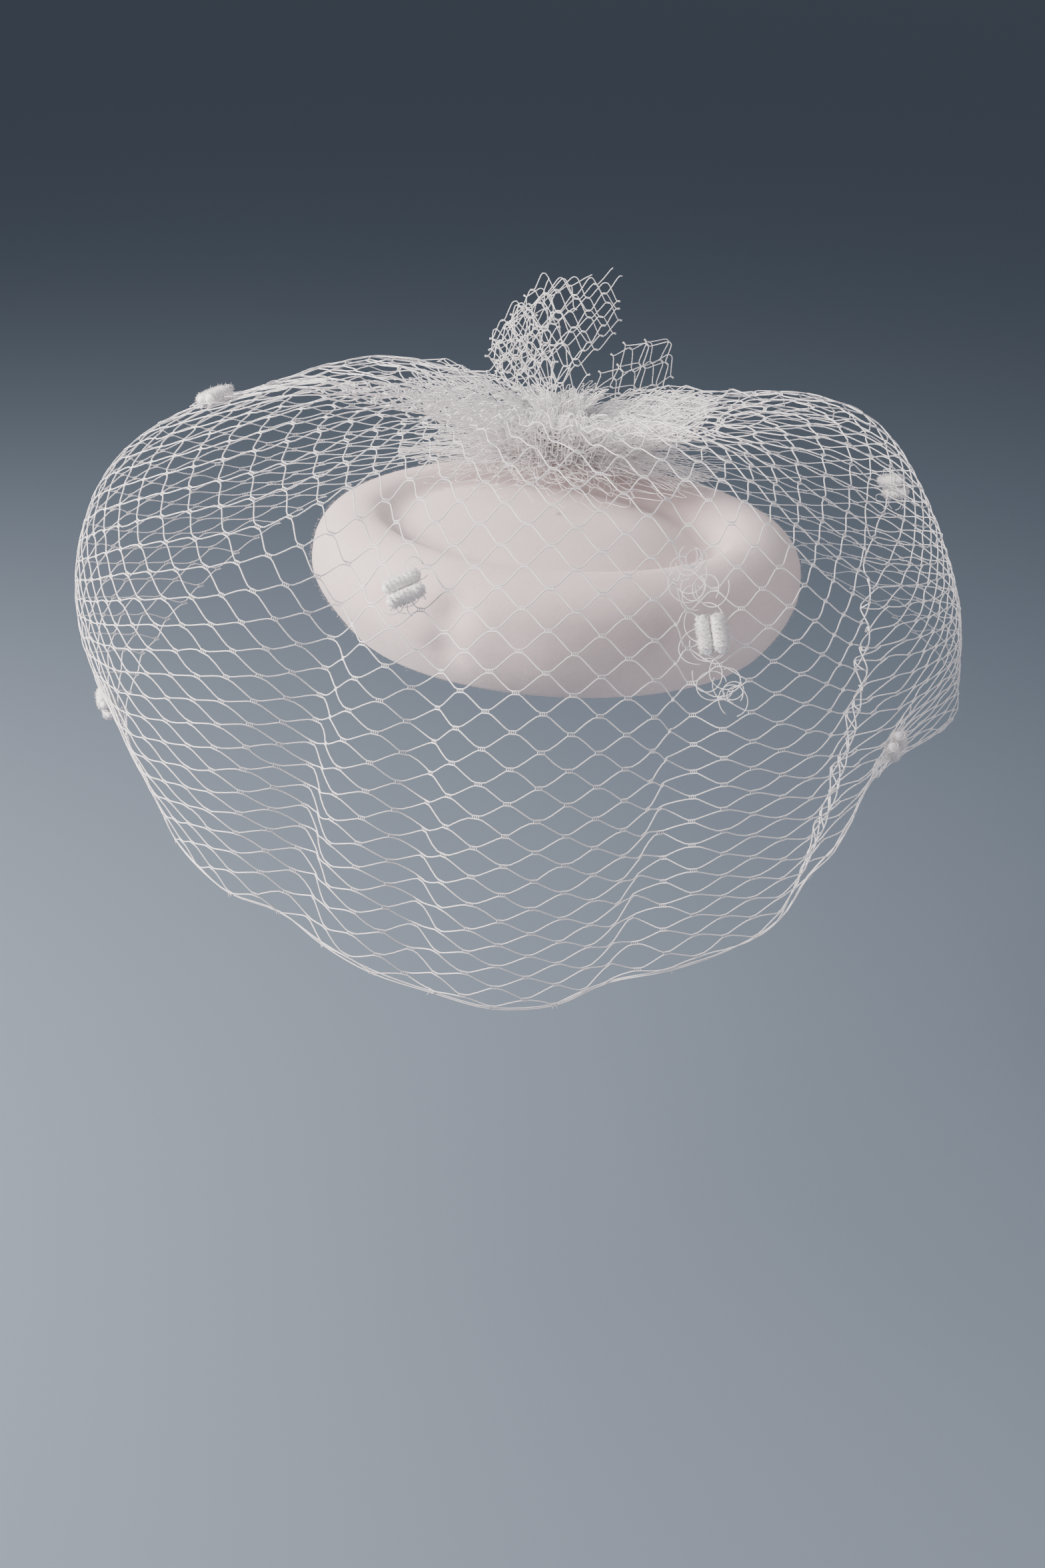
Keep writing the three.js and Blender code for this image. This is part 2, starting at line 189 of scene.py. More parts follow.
def grid_normals(grid, wrap):
    """Unit normals of a grid of points, from each point's neighbours."""
    if wrap:
        across = np.roll(grid, -1, axis=0) - np.roll(grid, 1, axis=0)
    else:
        across = np.gradient(grid, axis=0)
    return unit(np.cross(across, np.gradient(grid, axis=1)))


def closed_strips(lines, rings):
    """Quads that join each ring of points to the next, for points ordered ring by ring."""
    i = np.arange(lines)
    start = (np.arange(rings - 1) * lines)[:, None]
    quads = np.stack([start + i, start + (i + 1) % lines,
                      start + lines + (i + 1) % lines, start + lines + i], axis=-1)
    return quads.reshape(-1, 4).tolist()


def make_felt(material):
    """The outer and inner faces joined by a softly rounded cut edge."""
    outer = felt_outer()
    normals = grid_normals(outer, wrap=True)
    normals[:, -1] = (0, 0, 1)
    inner = outer - FELT_THICKNESS * normals
    outer[:, 0, 2] = 0.35
    inner[:, 0, 2] = 0.35
    lip = [outer[:, 0] * (1 - s) + inner[:, 0] * s for s in (0.12, 0.35, 0.65, 0.88)]
    for ring, drop in zip(lip, (0.25, 0.35, 0.35, 0.25)):
        ring[:, 2] -= drop
    rings = [outer[:, j] for j in range(FELT_STEPS - 1, -1, -1)]
    rings += lip
    rings += [inner[:, j] for j in range(FELT_STEPS)]
    faces = closed_strips(FELT_LINES, len(rings))
    last = (len(rings) - 1) * FELT_LINES
    faces.append(list(range(FELT_LINES))[::-1])
    faces.append([last + i for i in range(FELT_LINES)])
    # The rings run down the outside, so the faces are turned round to look outwards.
    faces = [face[::-1] for face in faces]
    return mesh_piece("felt_body_blocked", np.concatenate(rings), faces, material)


def felt_material():
    # Wool felt, pressed and shaved: matte, with fine crossing fibres about 0.3 mm across, a faint
    # cloudiness where the wool is thicker, and a pale bloom of loose fibre ends at grazing angles.
    material, tree = new_material("ivory_wool_felt_blocked")
    where = add_node(tree, "ShaderNodeTexCoord", {}, {})
    fibre_width = 0.3 * MM
    fibres = add_node(tree, "ShaderNodeTexNoise", {}, {
        "Vector": where.outputs["Object"], "Scale": 0.5 / fibre_width,
        "Detail": 4.0, "Roughness": 0.65, "Distortion": 1.2})
    clouds = add_node(tree, "ShaderNodeTexNoise", {}, {
        "Vector": where.outputs["Object"], "Scale": 0.5 / (14 * MM), "Detail": 3.0})
    flecks = add_node(tree, "ShaderNodeTexNoise", {}, {
        "Vector": where.outputs["Object"], "Scale": 0.5 / (1.4 * MM), "Detail": 5.0, "Roughness": 0.7})
    # Both stops are pinker than the felt's own ivory. Part of that pink is painted light: the warm
    # colour of the window light, put into the felt's colour.
    cloud_tone = two_tone(tree, clouds.outputs["Fac"], (0.35, "#e4d6d4"), (0.65, "#eddfdd"))
    fibre_tone = two_tone(tree, fibres.outputs["Fac"], (0.3, "#f1eeee"), (0.7, "#ffffff"))
    colour = add_node(tree, "ShaderNodeMix", {"data_type": "RGBA", "blend_type": "MULTIPLY"}, {})
    colour.inputs["Factor"].default_value = 1.0
    tree.links.new(cloud_tone, colour.inputs[6])
    tree.links.new(fibre_tone, colour.inputs[7])
    height = add_node(tree, "ShaderNodeMath", {"operation": "MULTIPLY_ADD"}, {})
    tree.links.new(flecks.outputs["Fac"], height.inputs[0])
    height.inputs[1].default_value = 1.6
    tree.links.new(fibres.outputs["Fac"], height.inputs[2])
    bump = add_node(tree, "ShaderNodeBump", {}, {
        "Height": height.outputs["Value"], "Strength": 0.35, "Distance": 0.12 * MM})
    surface = add_node(tree, "ShaderNodeBsdfPrincipled", {}, {
        "Base Color": colour.outputs[2], "Roughness": 0.95, "IOR": 1.5,
        "Specular IOR Level": 0.2, "Sheen Weight": 0.35, "Sheen Roughness": 0.6,
        "Sheen Tint": linear("#fff6f2"), "Normal": bump.outputs["Normal"]})
    add_node(tree, "ShaderNodeOutputMaterial", {}, {"Surface": surface.outputs["BSDF"]})
    return material


felt = felt_material()
felt_body = make_felt(felt)
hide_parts("felt_body")

# The pressed felt keeps a short bloom of loose wool ends, most of them lying along the surface.
NAP_FIBRES = 22000
NAP_LENGTHS = (0.4, 1.0)
NAP_RADIUS = 0.03
NAP_SINK = 0.1
nap_draws = np.random.default_rng(3)


def cone_batch(roots, tips, radius):
    """Fine three-sided fibres, each from a root to a point: points and triangles."""
    along = unit(tips - roots)
    side = unit(np.cross(along, (0.31, 0.83, 0.47)))
    up = np.cross(along, side)
    turns = 2 * math.pi * np.arange(3) / 3
    ring = np.cos(turns)[:, None] * side[:, None, :] + np.sin(turns)[:, None] * up[:, None, :]
    points = np.concatenate([roots[:, None, :] + radius * ring, tips[:, None, :]], axis=1)
    start = 4 * np.arange(len(roots))[:, None, None]
    faces = start + np.array([(0, 1, 3), (1, 2, 3), (2, 0, 3)])
    return points.reshape(-1, 3), faces.reshape(-1, 3)


outer = felt_outer()
outer_normals = grid_normals(outer, wrap=True)
patch = np.cross(np.roll(outer, -1, axis=0) - outer, np.gradient(outer, axis=1))
patch = np.linalg.norm(patch, axis=2)
patch[:, -3:] = 0
chosen = nap_draws.choice(patch.size, NAP_FIBRES, p=patch.ravel() / patch.sum())
roots = outer.reshape(-1, 3)[chosen]
normals = outer_normals.reshape(-1, 3)[chosen]
roots = roots + nap_draws.uniform(-1, 1, (NAP_FIBRES, 3)) * np.array([1.1, 1.1, 0.3])
drift = nap_draws.normal(0, 1, (NAP_FIBRES, 3))
lie = unit(drift - (drift * normals).sum(axis=1, keepdims=True) * normals)
length = nap_draws.uniform(*NAP_LENGTHS, (NAP_FIBRES, 1))
tips = roots + length * unit(lie + nap_draws.uniform(0.15, 0.9, (NAP_FIBRES, 1)) * normals)
nap_points, nap_faces = cone_batch(roots - NAP_SINK * normals, tips, NAP_RADIUS)
nap = mesh_piece("felt_body_nap", nap_points, nap_faces.tolist(), felt)
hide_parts("felt_body")


# ------------------------------------------------------------------ veil
# A birdcage veil cut from a strip of stiff white nylon net. Pairs of zigzag threads run along the
# strip; where two meet they lie side by side for a little way, tied by four rungs, and between
# the ties they open into diamonds. The strip is gathered to a point over the back of the ring.

GATHER = np.array([-2.0, 64.0, 50.0])
GATHER_EYE = 9.5
MESH_SIDE = 10.0
NET_ROWS = 47
THREAD_RADIUS = 0.2
RUNG_RADIUS = 0.13
TIE_REACH = 1.0
TIE_GAP = 0.48

# How the net hangs, in each direction round the hat (0 is the front, 90 is +X): azimuth, then
# distance from the hat's axis and height at its top, belly, waist and hem.
VEIL_HANG = np.array([
    (-172, 82, 53, 88, 50, 90, 45, 89, 40),
    (-145, 92, 66, 122, 61, 128, 42, 120, 20),
    (-118, 99, 65, 141, 48, 153, 20, 138, -8),
    (-92, 97, 70, 150, 40, 161, 4, 146, -42),
    (-66, 97, 71, 143, 38, 148, -14, 135, -52),
    (-42, 78, 71, 125, 32, 140, -20, 134, -61),
    (-20, 64, 72, 112, 26, 130, -32, 127, -73),
    (0, 58, 72, 108, 26, 124, -34, 119, -79),
    (20, 62, 70, 108, 24, 120, -34, 115, -72),
    (42, 74, 67, 112, 22, 122, -24, 121, -56),
    (66, 86, 62, 114, 25, 123, -6, 118, -28),
    (92, 104, 65, 122, 36, 138, 4, 142, -22),
    (118, 110, 66, 130, 47, 139, 16, 135, -8),
    (145, 92, 62, 114, 52, 119, 32, 112, 10),
    (172, 82, 52, 87, 49, 89, 44, 88, 36),
], dtype=float)
# Folds: azimuth where each starts, azimuth at the hem, width, how far it pushes the net out (+) or
# in (-), and the shares of the way down where it starts and is full.
VEIL_FOLDS = [
    (-104, -100, 12, 4, 0.30, 0.85),
    (-60, -56, 10, 4, 0.30, 0.85),
    (-36, -34, 5, -15, 0.35, 0.70),
    (-18, -16, 3.5, -7, 0.50, 0.75),
    (-2, -4, 12, 6, 0.25, 0.70),
    (33, 14, 4, -10, 0.35, 0.65),
    (52, 36, 7, 4, 0.30, 0.80),
    (96, 44, 5, -11, 0.45, 0.85),
    (104, 104, 10, 4, 0.30, 0.85),
]
PLEAT_HEIGHT = 3.0
PLEAT_COUNT = 26
VEIL_END = 172
VEIL_STEPS = 161
CURVE_STEPS = 240
veil_azimuths = np.arange(-VEIL_END, VEIL_END + 0.5, 1.0)
veil_shares = np.linspace(0, 1, VEIL_STEPS)


def veil_line(azimuth, hang):
    """One direction's line of hang, at equal steps from the gather to the hem."""
    turn = math.radians(azimuth)
    out = np.array([math.sin(turn), -math.cos(turn), 0.0])
    knots = [GATHER + GATHER_EYE * out]
    knots += [out * reach + (0, 0, height) for reach, height in hang.reshape(-1, 2)]
    knots = np.array(knots)
    places = path_lengths(knots)
    curve = blend_rows(np.linspace(0, places[-1], CURVE_STEPS), places, knots)
    travelled = path_lengths(curve)
    even = np.linspace(0, travelled[-1], VEIL_STEPS)
    line = np.stack([np.interp(even, travelled, curve[:, axis]) for axis in range(3)], axis=1)
    for start, end, width, push, begin, full in VEIL_FOLDS:
        centre = start + (end - start) * np.clip((veil_shares - begin) / (1 - begin), 0, 1)
        strength = smooth_step(veil_shares, begin, full) * (1 - 0.5 * smooth_step(veil_shares, 0.88, 1))
        line += out * (push * strength * np.exp(-((azimuth - centre) / width) ** 2))[:, None]
    pleats = smooth_step(veil_shares, 0, 0.1) * (1 - smooth_step(veil_shares, 0.18, 0.5))
    line[:, 2] += PLEAT_HEIGHT * pleats * math.sin(turn * PLEAT_COUNT + 0.8 * math.sin(turn * 5))
    return line


veil_hang = blend_rows(veil_azimuths, VEIL_HANG[:, 0], VEIL_HANG[:, 1:])
veil_grid = np.array([veil_line(a, h) for a, h in zip(veil_azimuths, veil_hang)])
veil_lengths = np.linalg.norm(np.diff(veil_grid, axis=1), axis=2).sum(axis=1)
veil_across = np.gradient(veil_grid, axis=0)
veil_down = np.gradient(veil_grid, axis=1) * (VEIL_STEPS - 1)
veil_normals = unit(np.cross(veil_down, veil_across))
down_unit = unit(veil_down)
veil_spread = np.linalg.norm(
    veil_across - (veil_across * down_unit).sum(axis=2, keepdims=True) * down_unit, axis=2)


def on_veil(grid, azimuth, share):
    """Reads a grid of the veil's surface at any azimuth and share of the way down."""
    x = np.clip(azimuth + VEIL_END, 0, len(veil_azimuths) - 1.001)
    y = np.clip(share, 0, 0.99999) * (VEIL_STEPS - 1)
    i = x.astype(int)
    j = y.astype(int)
    u = (x - i)[..., None]
    v = (y - j)[..., None]
    return ((1 - u) * ((1 - v) * grid[i, j] + v * grid[i, j + 1])
            + u * ((1 - v) * grid[i + 1, j] + v * grid[i + 1, j + 1]))


def rows_down(azimuth, pitch, rows):
    """Distances of the net's rows down one line, for columns 'pitch' degrees apart."""
    k = int(round(azimuth + VEIL_END))
    down = [0.0]
    for _ in range(rows):
        place = down[-1] / veil_lengths[k] * (VEIL_STEPS - 1)
        half = min(0.98 * MESH_SIDE, pitch * np.interp(place, np.arange(VEIL_STEPS), veil_spread[k]))
        down.append(down[-1] + math.sqrt(MESH_SIDE ** 2 - half ** 2))
    return np.array(down) / veil_lengths[k]


def column_pitch(azimuth, rows):
    """The pitch, in degrees, at which this many rows just reach the hem."""
    low, high = 0.2, 12.0
    for _ in range(26):
        middle = (low + high) / 2
        if rows_down(azimuth, middle, rows)[-1] > 1:
            low = middle
        else:
            high = middle
    return middle


def lay_columns(side, corner=95):
    """Columns from the front round to one end. Past the corner the free edge runs up a thread,
    so each column has one row less than the last."""
    azimuth, rows, columns = 0.0, NET_ROWS, []
    while abs(azimuth) < VEIL_END:
        pitch = column_pitch(azimuth, rows)
        columns.append((azimuth, rows, rows_down(azimuth, pitch, rows)))
        azimuth += side * pitch
        if abs(azimuth) > corner:
            rows -= 1
    return columns


net_columns = lay_columns(-1)[::-1] + lay_columns(1)[1:]
row_counts = np.array([rows for _, rows, _ in net_columns])
shape = (len(net_columns), NET_ROWS + 1)
tie_azimuth = np.zeros(shape)
tie_share = np.zeros(shape)
is_tie = np.zeros(shape, dtype=bool)
for i, (azimuth, rows, down) in enumerate(net_columns):
    for j in range(i % 2, rows + 1, 2):
        tie_azimuth[i, j] = azimuth
        tie_share[i, j] = min(1, down[j] / down[-1])
        is_tie[i, j] = True


def net_links(di, dj):
    """Pairs of ties that lie di columns and dj rows apart."""
    i, j = np.nonzero(is_tie)
    ok = (i + di < shape[0]) & (j + dj >= 0) & (j + dj < shape[1])
    i, j = i[ok], j[ok]
    ok = is_tie[i + di, j + dj]
    i, j = i[ok], j[ok]
    return i * shape[1] + j, (i + di) * shape[1] + j + dj


# At the front, where the net is pulled wide, the diamonds lie flatter: the azimuth of the middle of
# that part, and its width.
FLAT_MIDDLE, FLAT_WIDTH = 2, 24
# Half a diamond's width as it hangs, and how much wider it is at the front.
HALF_WIDE, FRONT_WIDER = 7.2, 1.2


def relax_net(azimuth, share, rounds=420):
    """Slides the ties over the veil's surface until each thread between two ties is its own
    length. Weaker pulls set how wide the diamonds open: flat ones at the front, square elsewhere."""
    front = np.exp(-((azimuth - FLAT_MIDDLE) / FLAT_WIDTH) ** 2).ravel()
    wide = 2 * (HALF_WIDE + FRONT_WIDER * front)
    tall = 2 * np.sqrt(MESH_SIDE ** 2 - (wide / 2) ** 2)
    weak = 0.03 + 0.25 * front
    starts, ends, lengths, pulls = [], [], [], []
    for di, dj in ((1, 1), (1, -1), (2, 0), (0, 2)):
        start, end = net_links(di, dj)
        length = {2: wide[start], 0: tall[start], 1: np.full(len(start), MESH_SIDE)}[di]
        pull = np.ones(len(start)) if di == 1 else weak[start]
        starts.append(start)
        ends.append(end)
        lengths.append(length)
        pulls.append(pull)
    start, end, length, pull = (np.concatenate(x) for x in (starts, ends, lengths, pulls))
    at_hem = np.zeros(shape, dtype=bool)
    columns = np.arange(shape[0])
    at_hem[columns, row_counts] = is_tie[columns, row_counts]
    at_eye = np.zeros(shape, dtype=bool)
    at_eye[:, :2] = True
    at_end = np.zeros(shape, dtype=bool)
    at_end[[0, -1]] = True
    weight = np.zeros(shape[0] * shape[1])
    np.add.at(weight, start, pull)
    np.add.at(weight, end, pull)
    weight = np.maximum(weight, 1e-3)[:, None]
    for _ in range(rounds):
        points = on_veil(veil_grid, azimuth, share).reshape(-1, 3)
        gap = points[end] - points[start]
        size = np.linalg.norm(gap, axis=1)
        move = (pull * (size - length) / np.maximum(size, 1e-6) / 2)[:, None] * gap
        total = np.zeros_like(points)
        np.add.at(total, start, move)
        np.add.at(total, end, -move)
        total = (1.2 * total / weight).reshape(*shape, 3)
        across = on_veil(veil_across, azimuth, share)
        down = on_veil(veil_down, azimuth, share)
        aa, dd, ad = (across ** 2).sum(-1), (down ** 2).sum(-1), (across * down).sum(-1)
        ta, td = (total * across).sum(-1), (total * down).sum(-1)
        area = aa * dd - ad ** 2 + 1e-6
        turn = np.clip((dd * ta - ad * td) / area, -1.5, 1.5)
        slide = np.clip((aa * td - ad * ta) / area, -0.01, 0.01)
        turn[at_eye | at_end] = 0
        slide[at_eye | at_hem] = 0
        azimuth = np.clip(azimuth + turn, -VEIL_END, VEIL_END)
        share = np.clip(share + slide, 0, 1)
    return azimuth, share


tie_azimuth, tie_share = relax_net(tie_azimuth, tie_share)


def tube_batch(paths, outs, radius, sides):
    """Round threads along a batch of paths with equally many points each: their points, the faces
    round them and the faces that close their ends."""
    tangents = unit(np.gradient(paths, axis=1))
    side = unit(np.cross(tangents, outs))
    up = np.cross(side, tangents)
    turns = 2 * math.pi * np.arange(sides) / sides
    ring = (np.cos(turns)[:, None] * side[:, :, None, :] + np.sin(turns)[:, None] * up[:, :, None, :])
    points = (paths[:, :, None, :] + radius * ring).reshape(-1, 3)
    count, steps = paths.shape[:2]
    i = np.arange(sides)
    start = (np.arange(count)[:, None] * steps + np.arange(steps - 1)).reshape(-1, 1) * sides
    walls = np.stack([start + sides + i, start + sides + (i + 1) % sides,
                      start + (i + 1) % sides, start + i], axis=-1)
    first = np.arange(count)[:, None] * steps * sides + i
    last = first + (steps - 1) * sides
    return points, walls.reshape(-1, 4), np.concatenate([first, last[:, ::-1]])


class Threads:
    """Collects the tubes of one net piece, then joins them in one mesh."""

    def __init__(self):
        self.points = []
        self.faces = []
        self.count = 0

    def add(self, paths, outs, radius=THREAD_RADIUS, sides=5):
        points, walls, ends = tube_batch(np.asarray(paths), np.asarray(outs), radius, sides)
        self.points.append(points)
        self.faces += (walls + self.count).tolist() + (ends + self.count).tolist()
        self.count += len(points)

    def make(self, name, node, material):
        points = np.concatenate(self.points)
        piece = mesh_piece(name, points, self.faces, material)
        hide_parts(node)
        return piece


class Net:
    """A sheet of net from its ties, [column][row], and the sheet's outward direction at each."""

    def __init__(self, ties, outs, is_tie, tie_reach=TIE_REACH, tie_gap=TIE_GAP, ease=0.38, stub=1.0):
        self.ties, self.outs, self.is_tie, self.ease, self.stub = ties, outs, is_tie, ease, stub
        self.columns, self.rows = is_tie.shape
        along = np.zeros_like(ties)
        for i, j in np.argwhere(is_tie):
            before = i - 2 if self.has(i - 2, j) else i
            after = i + 2 if self.has(i + 2, j) else i
            along[i, j] = ties[after, j] - ties[before, j]
            if before == after:
                for k, row in ((i + 1, j - 1), (i + 1, j + 1), (i - 1, j - 1), (i - 1, j + 1)):
                    if self.has(k, row):
                        along[i, j] += (k - i) * (ties[k, row] - ties[i, j])
        along -= (along * outs).sum(axis=2, keepdims=True) * outs
        spread = np.linalg.norm(along, axis=2) / 2
        self.along = unit(along)
        self.down = np.cross(self.along, outs)
        self.spread = spread
        self.reach = np.clip(0.28 * spread, 0.15, tie_reach)
        self.gap = np.clip(0.16 * spread, 0.08, tie_gap)

    def has(self, i, j):
        return 0 <= i < self.columns and 0 <= j < self.rows and self.is_tie[i, j]

    def runs(self, k):
        """The ties that zigzag thread k joins, between rows k and k + 1."""
        runs, run = [], []
        for i in range(self.columns + 1):
            j = k if self.has(i, k) else k + 1
            if self.has(i, j):
                run.append((i, j))
            else:
                runs.append(run)
                run = []
        return [run for run in runs if len(run) > 1]

    def thread(self, k, run, rng):
        """The path of thread k along one run of ties, and the outward direction at each point."""
        points, outs = [], []
        for step, here in enumerate(run):
            side = 1 if here[1] == k else -1
            centre = self.ties[here] + side * self.gap[here] * self.down[here]
            stretch = self.reach[here] * self.along[here]
            points += [centre - stretch, centre, centre + stretch]
            outs += [self.outs[here]] * 3
            if step + 1 == len(run):
                break
            there = run[step + 1]
            start = points[-1]
            end = self.ties[there] - side * self.gap[there] * self.down[there]
            end = end - self.reach[there] * self.along[there]
            reach = np.linalg.norm(end - start)
            bow = rng.normal(0, 0.035, 2) * reach
            # The thread leaves each tie straight on, then swings over towards the next one.
            out = unit(self.outs[here] + self.outs[there])
            for t in (0.22, 0.5, 0.78):
                point = (2 * t ** 3 - 3 * t ** 2 + 1) * start + (3 * t ** 2 - 2 * t ** 3) * end
                point += (t ** 3 - 2 * t ** 2 + t) * self.ease * reach * self.along[here]
                point += (t ** 3 - t ** 2) * self.ease * reach * self.along[there]
                point += math.sin(math.pi * t) * (bow[0] * self.down[here] + 0.6 * bow[1] * out)
                points.append(point)
                outs.append(out)
        # A cut end sticks out a little past the last tie.
        points.insert(0, points[0] - self.stub * rng.uniform(0.1, 0.6) * self.along[run[0]])
        points.append(points[-1] + self.stub * rng.uniform(0.1, 0.6) * self.along[run[-1]])
        return np.array(points), np.array([outs[0], *outs, outs[-1]])

    def weave(self, threads, first, last, rng, rungs=4, sides=5, radius=THREAD_RADIUS):
        """Adds the zigzag threads from row 'first' to row 'last', and their ties' rungs."""
        for k in range(first, last):
            for run in self.runs(k):
                points, outs = self.thread(k, run, rng)
                threads.add(points[None], outs[None], radius=radius, sides=sides)
        i, j = np.nonzero(self.is_tie)
        here = (j > first) & (j <= last) & (self.spread[i, j] > 2.5)
        i, j = i[here], j[here]
        if rungs == 0 or len(i) == 0:
            return
        reach, gap = self.reach[i, j][:, None], self.gap[i, j][:, None]
        for share in np.linspace(-0.9, 0.9, rungs):
            middle = self.ties[i, j] + share * reach * self.along[i, j]
            paths = np.stack([middle - gap * self.down[i, j], middle + gap * self.down[i, j]], axis=1)
            outs = np.repeat(self.outs[i, j][:, None, :], 2, axis=1)
            threads.add(paths, outs, radius=RUNG_RADIUS, sides=4)


def net_material():
    # Nylon monofilament net, drawn and heat-set: white, with a soft satin glint along each thread.
    material, tree = new_material("white_nylon_net_heat_set")
    where = add_node(tree, "ShaderNodeTexCoord", {}, {})
    tone = add_node(tree, "ShaderNodeTexNoise", {}, {
        "Vector": where.outputs["Object"], "Scale": 0.5 / (3 * MM), "Detail": 2.0})
    colour = two_tone(tree, tone.outputs["Fac"], (0.3, "#f6f5f6"), (0.7, "#ffffff"))
    twist = add_node(tree, "ShaderNodeTexNoise", {}, {
        "Vector": where.outputs["Object"], "Scale": 0.5 / (0.4 * MM), "Detail": 2.0})
    bump = add_node(tree, "ShaderNodeBump", {}, {
        "Height": twist.outputs["Fac"], "Strength": 0.3, "Distance": 0.05 * MM})
    surface = add_node(tree, "ShaderNodeBsdfPrincipled", {}, {
        "Base Color": colour, "Roughness": 0.42, "IOR": 1.53,
        "Sheen Weight": 0.2, "Sheen Roughness": 0.5, "Normal": bump.outputs["Normal"]})
    add_node(tree, "ShaderNodeOutputMaterial", {}, {"Surface": surface.outputs["BSDF"]})
    return material


net = net_material()
draws = np.random.default_rng(7)
veil_ties = on_veil(veil_grid, tie_azimuth, tie_share)
veil_outs = unit(on_veil(veil_normals, tie_azimuth, tie_share))
veil_net = Net(veil_ties, veil_outs, is_tie)

# The veil's net is made in three bands of rows.
CROWN_ROWS, MIDDLE_ROWS = 18, 33
for name, first, last in (("veil_net_crown", 0, CROWN_ROWS),
                          ("veil_net_middle", CROWN_ROWS, MIDDLE_ROWS)):
    band = Threads()
    veil_net.weave(band, first, last, draws)
    band.make(name, "veil", net)

# The strip's own edge is bound by two more threads that run straight from tie to tie.
hem_band = Threads()
veil_net.weave(hem_band, MIDDLE_ROWS, NET_ROWS, draws)
edge = [(i, row_counts[i]) for i in range(shape[0]) if is_tie[i, row_counts[i]]]
edge_ties = np.array([veil_ties[here] for here in edge])
edge_outs = np.array([veil_outs[here] for here in edge])
edge_down = np.array([veil_net.down[here] for here in edge])
steps = np.arange(0, len(edge) - 0.99, 0.25)
for wander in (0.25, -0.35):
    drift = draws.normal(0, 0.35, (len(edge), 2))
    held = edge_ties + (wander + drift[:, :1]) * edge_down + 0.5 * drift[:, 1:] * edge_outs
    path = blend_rows(steps, np.arange(len(edge)), held)
    outs = unit(blend_rows(steps, np.arange(len(edge)), edge_outs))
    hem_band.add(path[None], outs[None])
# Short cut ends stand out past the edge where the next row was cut away.
cut = edge_ties[1:-1:2]
cut_down = edge_down[1:-1:2]
cut_outs = np.repeat(edge_outs[1:-1:2][:, None, :], 3, axis=1)
cut_along = np.array([veil_net.along[here] for here in edge])[1:-1:2]
for side in (-0.5, 0.5):
    length = draws.uniform(0.8, 2.6, (len(cut), 1))
    lean = draws.normal(0, 0.35, (len(cut), 1))
    root = cut + side * cut_along
    ends = root + length * cut_down + lean * cut_along
    hem_band.add(np.stack([root - 0.4 * cut_down, (root + ends) / 2, ends], axis=1), cut_outs, sides=4)
hem_band.make("veil_net_hem", "veil", net)


# ------------------------------------------------------------------ gathered root of the veil
# Where the strip is drawn up, its threads bunch into a stalk that is stitched to the top of the
# ring. The strip's own top edge spreads out again round the stalk as a crumpled, short frill.

# Bunched up and overlapping, the net's threads read as a soft haze, so these are drawn finer.
FINE_RADIUS = 0.14
STALK_SECTION = np.array([
    (6.3, 38.6),
    (5.6, 41.0),
    (4.6, 45.0),
    (5.8, 48.5),
    (9.5, 50.4),
])
gather_band = Threads()
for turn in np.linspace(0, 2 * math.pi, 96, endpoint=False):
    steps = np.linspace(0, 1, 15)
    section = blend_rows(steps, np.linspace(0, 1, len(STALK_SECTION)), STALK_SECTION)
    section[:, 0] *= 1 - draws.uniform(0, 0.35) * (1 - steps)
    swirl = turn + draws.normal(0, 0.08) + 0.25 * np.sin(3 * steps + draws.uniform(0, 6))
    direction = np.stack([np.cos(swirl), np.sin(swirl), 0 * swirl], axis=1)
    path = np.array([GATHER[0], GATHER[1], 0]) + section[:, :1] * direction
    path[:, 2] = section[:, 1]
    gather_band.add(path[None], direction[None], radius=FINE_RADIUS, sides=4)
# Sewing thread wound four times round the stalk's neck.
SEWING_TURNS = 4
turns = np.linspace(0, 2 * math.pi * SEWING_TURNS, 160)
around = np.stack([np.cos(turns), np.sin(turns), 0 * turns], axis=1)
path = np.array([GATHER[0], GATHER[1], 0]) + (5.15 + 0.12 * np.sin(turns * 2.3))[:, None] * around
path[:, 2] = 44.0 + 2.2 * turns / turns[-1] + 0.2 * np.sin(turns * 1.7)
gather_band.add(path[None], around[None], radius=0.2)
gather_band.make("veil_gather_stalk", "net_gather", net)


# How far each layer of the frill stands above the veil's surface.
FRILL_LIFTS = (-5.5, 2.8, -9.0, -2.2, 4.0)


def frill(threads, rise):
    """One crumpled layer of net spread round the stalk."""
    columns, rows = 92, 7
    ties = np.zeros((columns, rows, 3))
    held = np.zeros((columns, rows), dtype=bool)
    phase = draws.uniform(0, 6, 3)
    for i in range(columns):
        azimuth = -166 + 332 * i / (columns - 1)
        turn = math.radians(azimuth)
        for j in range(i % 2, rows, 2):
            reach = GATHER_EYE - 1.5 + 7.4 * j * (1 + 0.16 * math.sin(3 * turn + phase[0]))
            line = int(round(azimuth + VEIL_END))
            place = int(round(np.clip((reach - 8) / veil_lengths[line], 0, 0.99) * (VEIL_STEPS - 1)))
            crumple = 2.8 * math.sin(9 * turn + phase[1] + 0.5 * j)
            crumple += 1.4 * math.sin(16 * turn + phase[2])
            crumple *= min(1, j / 2) * (1 - 0.09 * j)
            lift = rise * math.sin(math.pi * min(1, 0.1 + 0.13 * j))
            ties[i, j] = veil_grid[line, place] + (0, 0, lift + 0.55 * crumple)
            ties[i, j] += 0.35 * crumple * np.array([math.cos(turn), math.sin(turn), 0])
            held[i, j] = True
    outs = np.zeros_like(ties) + (0, 0, 1)
    crumpled = Net(ties, outs, held, tie_reach=0.4, tie_gap=0.2, ease=0.5, stub=0)
    crumpled.weave(threads, 0, rows - 1, draws, rungs=0, sides=4, radius=FINE_RADIUS)


